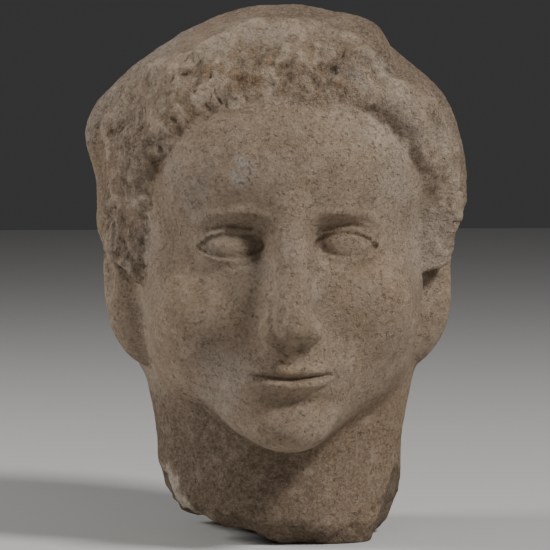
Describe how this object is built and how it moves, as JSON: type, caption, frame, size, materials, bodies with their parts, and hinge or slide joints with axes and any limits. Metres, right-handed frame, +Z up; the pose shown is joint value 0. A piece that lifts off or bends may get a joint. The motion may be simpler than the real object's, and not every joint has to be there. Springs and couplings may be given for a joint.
{
  "type": "limestone head",
  "caption": "Life-size carved limestone head with a rolled band of hair round the face, broken off through the neck and standing on the break.",
  "frame": {"origin": "centre of the flat of the broken underside, where the head rests", "axes": "+Z up from the neck to the crown, -Y the way the face looks, +X to the head's own left"},
  "size_m": [0.2136, 0.2288, 0.297],
  "materials": {
    "limestone": "worn and granular, warm grey-beige with brown stains, grey patches and pale chips"
  },
  "bodies": {
    "root": {"head": "limestone"}
  },
  "joints": []
}
